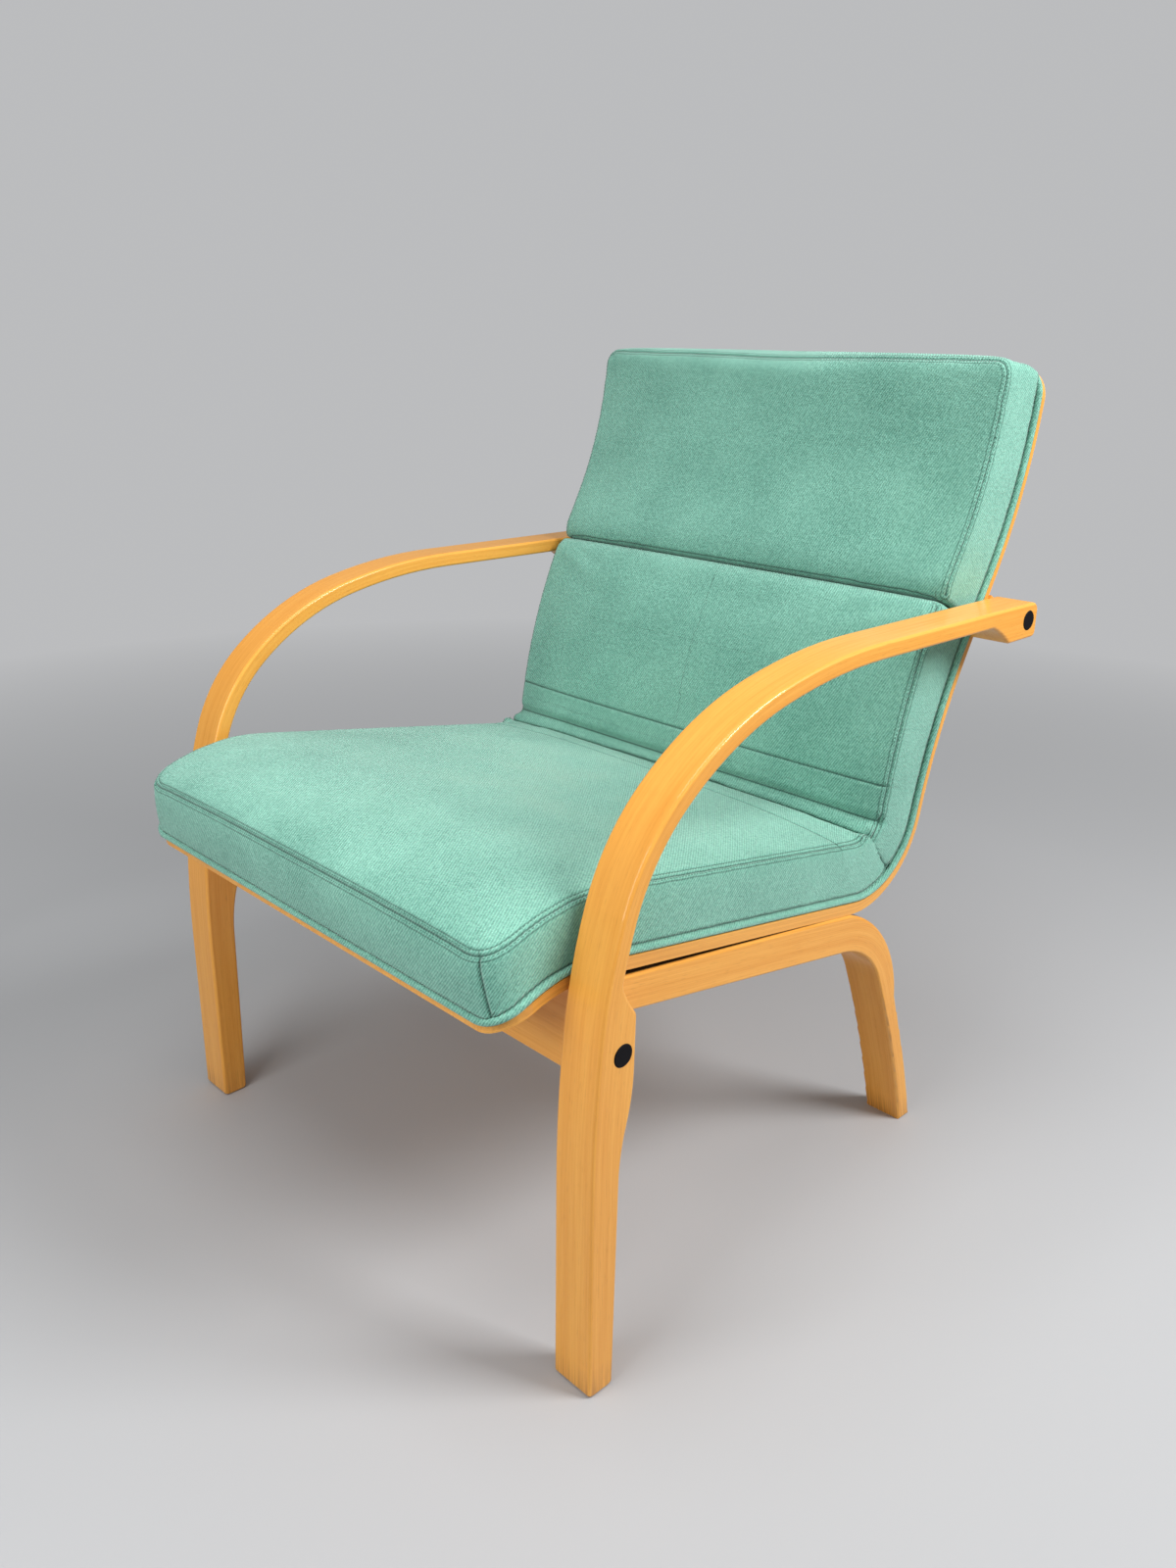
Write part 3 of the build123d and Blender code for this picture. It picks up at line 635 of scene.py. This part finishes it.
for name, line in (("seat", seat_top), ("back", back_top), ("head", head_top)):
    print(name, "upper face", round(line_length(line), 3), "m")

# %% [markdown]
# ## Stuffing a pad
#
# The pad starts as a copy of its CAD solid. A voxel remesh gives it an even net of small faces, like
# cloth, and the cloth simulation then blows it up a little from inside. What is sewn or glued is held:
# the underside on the shell, the faces in the creases and the seam round the top panel. So the panels
# swell between their seams, as they do over foam. A limit keeps each point close to its solid. Where the
# seat meets the back, both pads are at last pressed together, so that only a thin line shows there.

# %% Measure
def points_of(piece):
    flat = np.empty(len(piece.data.vertices) * 3)
    piece.data.vertices.foreach_get("co", flat)
    return flat.reshape(-1, 3)


def normals_of(piece):
    flat = np.empty(len(piece.data.vertices) * 3)
    piece.data.vertex_normals.foreach_get("vector", flat)
    return flat.reshape(-1, 3)


def set_points(piece, points):
    piece.data.vertices.foreach_set("co", points.ravel())
    piece.data.update()


def search_tree(points):
    """A quick way to find the nearest of many points."""
    tree = KDTree(len(points))
    for number, point in enumerate(points):
        tree.insert(point, number)
    tree.balance()
    return tree


def distance_to(points, line):
    """How far each point is from a line of closely spaced points."""
    tree = search_tree(line)
    return np.array([tree.find(point)[2] for point in points])


def distance_to_piece(points, other, reach):
    """How far each point is from the surface of another piece, up to a reach."""
    found = np.full(len(points), reach)
    for number, point in enumerate(points):
        hit, spot = other.closest_point_on_mesh(point, distance=reach)[:2]
        if hit:
            found[number] = (Vector(point) - spot).length
    return found


def closeness(apart, full, none):
    """One up to the full distance, falling to zero at the other."""
    return np.clip((none - apart) / (none - full), 0, 1)


# %% Copy and remesh
def solid_copy(node, name, voxel):
    """A copy of a CAD solid with an even net of faces and soft edges."""
    piece = bpy.data.objects.new(name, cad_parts[node].data.copy())
    bpy.context.collection.objects.link(piece)
    piece.data.materials.clear()
    wake(piece)
    bpy.ops.object.mode_set(mode="EDIT")
    bpy.ops.mesh.select_all(action="SELECT")
    bpy.ops.mesh.remove_doubles(threshold=0.00002)
    bpy.ops.mesh.normals_make_consistent(inside=False)
    bpy.ops.object.mode_set(mode="OBJECT")
    net = piece.modifiers.new("net", "REMESH")
    net.mode = "VOXEL"
    net.voxel_size = voxel
    soften = piece.modifiers.new("soften", "SMOOTH")
    soften.factor = 0.5
    soften.iterations = 10
    apply_modifiers(piece)
    return piece


# %% Swell
swell_frames = 20
press_depth = 0.002


def swell(piece, held, most):
    """Blow the cover up from inside, held where the weights say, and limit how far it moves."""
    before = points_of(piece)
    group = piece.vertex_groups.new(name="held")
    for number, weight in enumerate(held):
        if weight > 0.01:
            group.add([number], float(weight), "REPLACE")
    cloth = piece.modifiers.new("stuffing", "CLOTH")
    cloth.settings.use_pressure = True
    cloth.settings.uniform_pressure_force = 4
    cloth.settings.effector_weights.gravity = 0
    cloth.settings.vertex_group_mass = "held"
    for number in range(1, swell_frames + 1):
        scene.frame_set(number)
    apply_modifiers(piece)
    scene.frame_set(1)
    moved = points_of(piece) - before
    far = np.linalg.norm(moved, axis=1, keepdims=True) + 1e-9
    set_points(piece, before + moved / far * most * (1 - np.exp(-far / most)))
    piece.vertex_groups.clear()
    return float(far.max())


def press_at(piece, node, other):
    """Press a pad against another one along its sides and low down by the shell."""
    points = points_of(piece)
    near = distance_to_piece(points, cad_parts[other], 0.02)
    deep = distance_to_piece(points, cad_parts["seat_shell"], 0.05)
    from_side = pad_half - np.abs(points[:, 0])
    low = closeness(deep, 0.028, 0.040)
    beside = closeness(from_side, 0.008, 0.018) * closeness(deep, 0.048, 0.056)
    share = closeness(near, 0.010, 0.016) * np.maximum(low, beside)
    for number in np.flatnonzero(share > 0):
        spot = np.array(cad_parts[node].closest_point_on_mesh(Vector(points[number]))[1])
        points[number, 1:] += (spot - points[number])[1:] * share[number]
    set_points(piece, points)
    points += normals_of(piece) * (0, press_depth, press_depth) * share[:, None]
    set_points(piece, points)
    print(piece.name, "pressed at", int((share > 0).sum()), "points")


def stuffed_pad(node, name, neighbours, seam, voxel=0.005, tuck=0.0025, most=0.005):
    """A stuffed pad from its CAD solid, held at the shell, at its neighbours and at its seam."""
    piece = solid_copy(node, name, voxel)
    points = points_of(piece)
    held = closeness(distance_to_piece(points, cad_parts["seat_shell"], 0.02), 0.006, 0.010)
    for other in neighbours:
        near = distance_to_piece(points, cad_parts[other], 0.02)
        held = np.maximum(held, closeness(near, 0.004, 0.008))
    sewn = closeness(distance_to(points, seam), 0.004, 0.009)
    set_points(piece, points - normals_of(piece) * tuck * (1 - held)[:, None])
    reach = swell(piece, np.maximum(held, sewn), most)
    relax = piece.modifiers.new("relax", "SMOOTH")
    relax.factor = 0.5
    relax.iterations = 6
    finer = piece.modifiers.new("finer", "SUBSURF")
    finer.levels = finer.render_levels = 1
    apply_modifiers(piece)
    bpy.ops.object.shade_smooth()
    print(name, len(piece.data.polygons), "faces, swelled", round(reach, 4), "m before the limit")
    return piece


# %% [markdown]
# ## Seam lines
#
# A seam line is first drawn where the edge of the box would be, with round corners, and later laid on
# the swollen cover by taking the nearest point of its surface. The same loop drawn a few millimetres
# further in, or further down, gives the two rows of stitches beside the seam.

# %% Draw the loops
seat_inset = 0.005
seat_corner = 0.030
head_corner = 0.020
side_steps = 60
end_steps = 20


def spread(points, step=0.001):
    """Points at an even step along a line of points."""
    places = np.array([tuple(point) for point in points])
    runs = np.r_[0, np.cumsum(np.linalg.norm(np.diff(places, axis=0), axis=1))]
    marks = np.linspace(0, runs[-1], max(2, int(runs[-1] / step)))
    return [Vector(p) for p in np.column_stack([np.interp(marks, runs, places[:, i]) for i in range(3)])]


def horseshoe(half, far_end, corner, near_end, steps=16):
    """A plan of two sides and one end with round corners, as pairs of width and travel."""
    way = 1 if near_end > far_end else -1
    side_run = far_end + way * corner - near_end
    plan = [(half, near_end + side_run * i / side_steps) for i in range(side_steps)]
    for number in range(steps + 1):
        turn = math.pi / 2 * number / steps
        x = half - corner + corner * math.cos(turn)
        plan.append((x, far_end + way * corner * (1 - math.sin(turn))))
    plan += [((half - corner) * (1 - i / end_steps), far_end) for i in range(end_steps)]
    return plan + [(-x, travel) for x, travel in reversed(plan)]


def seat_loop(inset=0.0, drop=0.0):
    plan = horseshoe(pad_half - seat_inset - inset, inset, seat_corner, line_length(seat_top))
    return spread([upper(seat_top, x, travel, drop) for x, travel in plan])


def head_loop(inset=0.0, drop=0.0):
    plan = horseshoe(pad_half - inset, line_length(head_top) - inset, head_corner, 0.0)
    return spread([upper(head_top, x, travel, drop) for x, travel in plan])


def back_sides(inset=0.0, drop=0.0):
    travels = [line_length(back_top) * i / side_steps for i in range(side_steps + 1)]
    sides = []
    for x in (pad_half - inset, inset - pad_half):
        sides.append(spread([upper(back_top, x, travel, drop) for travel in travels]))
    return sides


def laid_on(piece, line, width=9):
    """The line moved to the nearest points of a piece, evened out, and moved there again."""
    spots = np.array([piece.closest_point_on_mesh(point)[1] for point in line])
    if len(spots) > 3 * width:
        share = np.full(width, 1 / width)
        for number in range(2):
            mean = np.column_stack([np.convolve(spots[:, i], share, mode="valid") for i in range(3)])
            spots[width // 2:len(spots) - width // 2] = mean
    return [piece.closest_point_on_mesh(Vector(spot))[1] for spot in spots]


print("seat seam", len(seat_loop()), "mm, head seam", len(head_loop()), "mm")

# %% Stuff the three pads
seat_pad = stuffed_pad("seat_cushion", "seat_pad", ("back_cushion",), seat_loop())
back_seams = back_sides()[0] + back_sides()[1]
back_pad = stuffed_pad("back_cushion", "back_pad", ("seat_cushion", "head_cushion"), back_seams)
head_pad = stuffed_pad("head_cushion", "head_pad", ("back_cushion",), head_loop())
press_at(seat_pad, "seat_cushion", "back_cushion")
press_at(back_pad, "back_cushion", "seat_cushion")

# %% [markdown]
# ## Sew the seams
#
# A seam pulls the cover into a narrow groove, and the rows of stitches beside it pull in two shallower
# ones. The faces near a seam are divided once more in edit mode, so that the groove has enough points,
# and then each point sinks along its normal by an amount that falls off with its distance from the line.

# %% Grooves
def refine_near(piece, lines, reach=0.008):
    """Divide the faces near some lines once more."""
    near = distance_to(points_of(piece), [point for line in lines for point in line]) < reach
    wake(piece)
    bpy.ops.object.mode_set(mode="EDIT")
    bpy.ops.mesh.select_mode(type="FACE")
    bpy.ops.mesh.select_all(action="DESELECT")
    bpy.ops.object.mode_set(mode="OBJECT")
    for face in piece.data.polygons:
        face.select = all(near[corner] for corner in face.vertices)
    bpy.ops.object.mode_set(mode="EDIT")
    bpy.ops.mesh.subdivide(number_cuts=1, smoothness=0)
    bpy.ops.object.mode_set(mode="OBJECT")


def sink(piece, line, depth, width):
    """Press a groove into the cover along a line."""
    apart = distance_to(points_of(piece), line)
    fall = np.exp(-((apart / width) ** 2))
    set_points(piece, points_of(piece) - normals_of(piece) * (depth * fall)[:, None])


def mark(piece, name, lines, reach=0.03):
    """Write how far each point lies left or right of the nearest of some lines."""
    spots = np.array([tuple(point) for line in lines for point in line])
    ways = np.vstack([np.gradient(np.array([tuple(point) for point in line]), axis=0) for line in lines])
    tree = search_tree(spots)
    points = points_of(piece)
    found = [tree.find(point) for point in points]
    nearest = np.array([hit[1] for hit in found])
    apart = np.array([hit[2] for hit in found])
    leftwards = np.cross(normals_of(piece), ways[nearest])
    side = np.sign(np.einsum("ij,ij->i", leftwards, points - spots[nearest]))
    gap = np.clip(apart * np.where(side == 0, 1, side), -reach, reach)
    attribute = piece.data.attributes.new(name, "FLOAT", "POINT")
    attribute.data.foreach_set("value", gap + seam_zero)


def across_line(line, travel, slant=0.0):
    """A line across a pad's upper face, which may run a little askew."""
    widths = [pad_half * (i / side_steps - 1) for i in range(2 * side_steps + 1)]
    return spread([upper(line, x, travel + slant * (x / pad_half)) for x in widths])


# %% Welt line
welt_radius = 0.0033
welt_lift = welt_radius + 0.0001
welt_half = pad_half + 0.0003
shell_length = line_length(shell_upper)


def welt_loop(lift, half, start, end, corner=0.028):
    """A closed loop round the upper face of the shell at a lift above it."""
    front = horseshoe(half, start, corner, (start + end) / 2)
    top = horseshoe(half, end, corner, (start + end) / 2)
    plan = front + list(reversed(top))
    return spread([place(x, on_line(shell_upper, travel, lift)) for x, travel in plan])


welt_line = welt_loop(welt_lift, welt_half, -0.001, shell_length)
groove_line = welt_loop(welt_lift + welt_radius + 0.0005, pad_half, -0.002, shell_length)
print("welt", round(len(welt_line) / 1000, 2), "m round")

# %% Sew the pads
seam_groove = (0.0013, 0.0020)
row_groove = (0.0006, 0.0018)
boxing_groove = (0.0016, 0.0020)
stitch_rows = {}


def sew(piece, seam_lines, row_lines, plain_lines):
    """Groove one pad: its main seams, the rows beside them, and plain lines of a depth and a width."""
    seams = [laid_on(piece, line) for line in seam_lines]
    rows = [laid_on(piece, line) for line in row_lines]
    plain = [laid_on(piece, line) for line, depth, width in plain_lines]
    refine_near(piece, seams + rows + plain)
    mark(piece, "seam", seams)
    mark(piece, "tuck", plain + [laid_on(piece, groove_line)])
    for line in seams:
        sink(piece, line, *seam_groove)
    for line in rows:
        sink(piece, line, *row_groove)
    for line, (drawn, depth, width) in zip(plain, plain_lines):
        sink(piece, line, depth, width)
    stitch_rows[piece.name] = rows
    print(piece.name, "sewn,", len(piece.data.polygons), "faces")


def corner_drop(side):
    """The upright seam of the boxing at a front corner."""
    top = upper(seat_top, side * (pad_half - 0.018), 0.003)
    foot = place(side * (pad_half - 0.012), on_line(shell_upper, 0.004))
    return spread([top, foot])


seat_fold = across_line(seat_top, line_length(seat_top) - 0.036, slant=-0.009)
sew(seat_pad, [seat_loop()], [seat_loop(inset=row_gap), seat_loop(drop=row_gap)],
    [(corner_drop(1), *boxing_groove), (corner_drop(-1), *boxing_groove), (seat_fold, 0.0008, 0.0025)])
back_fold = across_line(back_top, 0.019)
back_stitch = across_line(back_top, 0.0545)
sew(back_pad, back_sides(), back_sides(inset=row_gap) + back_sides(drop=row_gap),
    [(back_fold, 0.0045, 0.005), (back_stitch, 0.0010, 0.0018)])
sew(head_pad, [head_loop()], [head_loop(inset=row_gap), head_loop(drop=row_gap)], [])

# %% [markdown]
# ## Stitches
#
# One stitch is a short, round-ended piece of thread. It is modelled once, repeated along a row with an
# Array modifier and bent to the row with a Curve modifier, and both are applied.

# %% Lay the stitches
def row_curve(name, line):
    """A curve through the points of a row."""
    data = bpy.data.curves.new(name, "CURVE")
    data.dimensions = "3D"
    spline = data.splines.new("POLY")
    spline.points.add(len(line) - 1)
    spline.points.foreach_set("co", [value for point in line for value in (*point, 1)])
    curve = bpy.data.objects.new(name, data)
    bpy.context.collection.objects.link(curve)
    return curve


def stitched_row(name, line, pitch=0.0038, length=0.0027, thick=0.00042):
    """One row of stitches along a line."""
    bpy.ops.object.select_all(action="DESELECT")
    bpy.ops.mesh.primitive_uv_sphere_add(segments=6, ring_count=4, radius=1)
    row = bpy.context.object
    row.name = name
    bpy.ops.object.mode_set(mode="EDIT")
    bpy.ops.transform.rotate(value=math.pi / 2, orient_axis="Y", center_override=(0, 0, 0))
    bpy.ops.transform.resize(value=(length / 2, thick, thick), center_override=(0, 0, 0))
    bpy.ops.transform.translate(value=(pitch / 2, 0, 0))
    bpy.ops.object.mode_set(mode="OBJECT")
    path = row_curve(name + "_path", line)
    repeat = row.modifiers.new("repeat", "ARRAY")
    repeat.fit_type = "FIT_CURVE"
    repeat.curve = path
    repeat.use_relative_offset = False
    repeat.use_constant_offset = True
    repeat.constant_offset_displace = (pitch, 0, 0)
    follow = row.modifiers.new("follow", "CURVE")
    follow.object = path
    apply_modifiers(row)
    bpy.data.objects.remove(path)
    bpy.ops.object.shade_smooth()
    row.data.materials.append(stitch_thread_painted_shade)
    return row


def stitch_pad(piece, name, lines):
    """All the rows of a pad, joined into one piece."""
    rows = [stitched_row(name, laid_on(piece, line)) for line in lines]
    wake(rows[0])
    for row in rows:
        row.select_set(True)
    bpy.ops.object.join()
    print(name, len(rows[0].data.polygons), "faces")
    return rows[0]


seat_stitches = stitch_pad(seat_pad, "seat_stitches", stitch_rows["seat_pad"])
back_stitches = stitch_pad(back_pad, "back_stitches", stitch_rows["back_pad"] + [back_stitch])
head_stitches = stitch_pad(head_pad, "head_stitches", stitch_rows["head_pad"])

# %% [markdown]
# ## Welt
#
# A roll of cloth closes the joint between the cover and the shell. It is a round tube on a closed line
# that follows the edge of the shell. Behind it a thin lining lies on the shell, so that cloth and not
# wood shows in the joints between the pads.

# %% Make the welt
welt_path = row_curve("welt", welt_line[::4])
welt_path.data.splines[0].use_cyclic_u = True
welt_path.data.bevel_depth = welt_radius
welt_path.data.bevel_resolution = 3
wake(welt_path)
bpy.ops.object.convert(target="MESH")
welt = bpy.context.object
bpy.ops.object.shade_smooth()
print("welt", len(welt.data.polygons), "faces")

# %% Lay the lining
lining_half = 0.280
lining_corner = 0.032
lining_lift = 0.0001
lining_thickness = 0.0002
bpy.ops.object.select_all(action="DESELECT")
bpy.ops.mesh.primitive_grid_add(x_subdivisions=4, y_subdivisions=240, size=1)
lining = bpy.context.object
lining.name = "lining"
spots = []
for across, up in points_of(lining)[:, :2]:
    travel = (up + 0.5) * shell_length
    into_corner = max(0.0, lining_corner - min(travel, shell_length - travel))
    half = lining_half - lining_corner + math.sqrt(lining_corner ** 2 - into_corner ** 2)
    spots.append(place(across * 2 * half, on_line(shell_upper, travel, lining_lift)))
set_points(lining, np.array(spots))
cloth_thickness = lining.modifiers.new("cloth", "SOLIDIFY")
cloth_thickness.thickness = lining_thickness
cloth_thickness.offset = 1
apply_modifiers(lining)
print("lining", len(lining.data.polygons), "faces")

# %% [markdown]
# ## Finish
#
# Each new piece gets its cloth and rides on the chair's one body, and each pad hides the CAD solid it
# stands for.

# %% Finish the pads
for piece in (seat_pad, back_pad, head_pad, welt, lining):
    piece.data.materials.clear()
    piece.data.materials.append(cover_cloth)
for pad, node in ((seat_pad, "seat_cushion"), (back_pad, "back_cushion"), (head_pad, "head_cushion")):
    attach(pad, "root")
    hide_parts(node)
for trim in (seat_stitches, back_stitches, head_stitches, welt, lining):
    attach(trim, "root")
    print(trim.name, "rides on the chair")
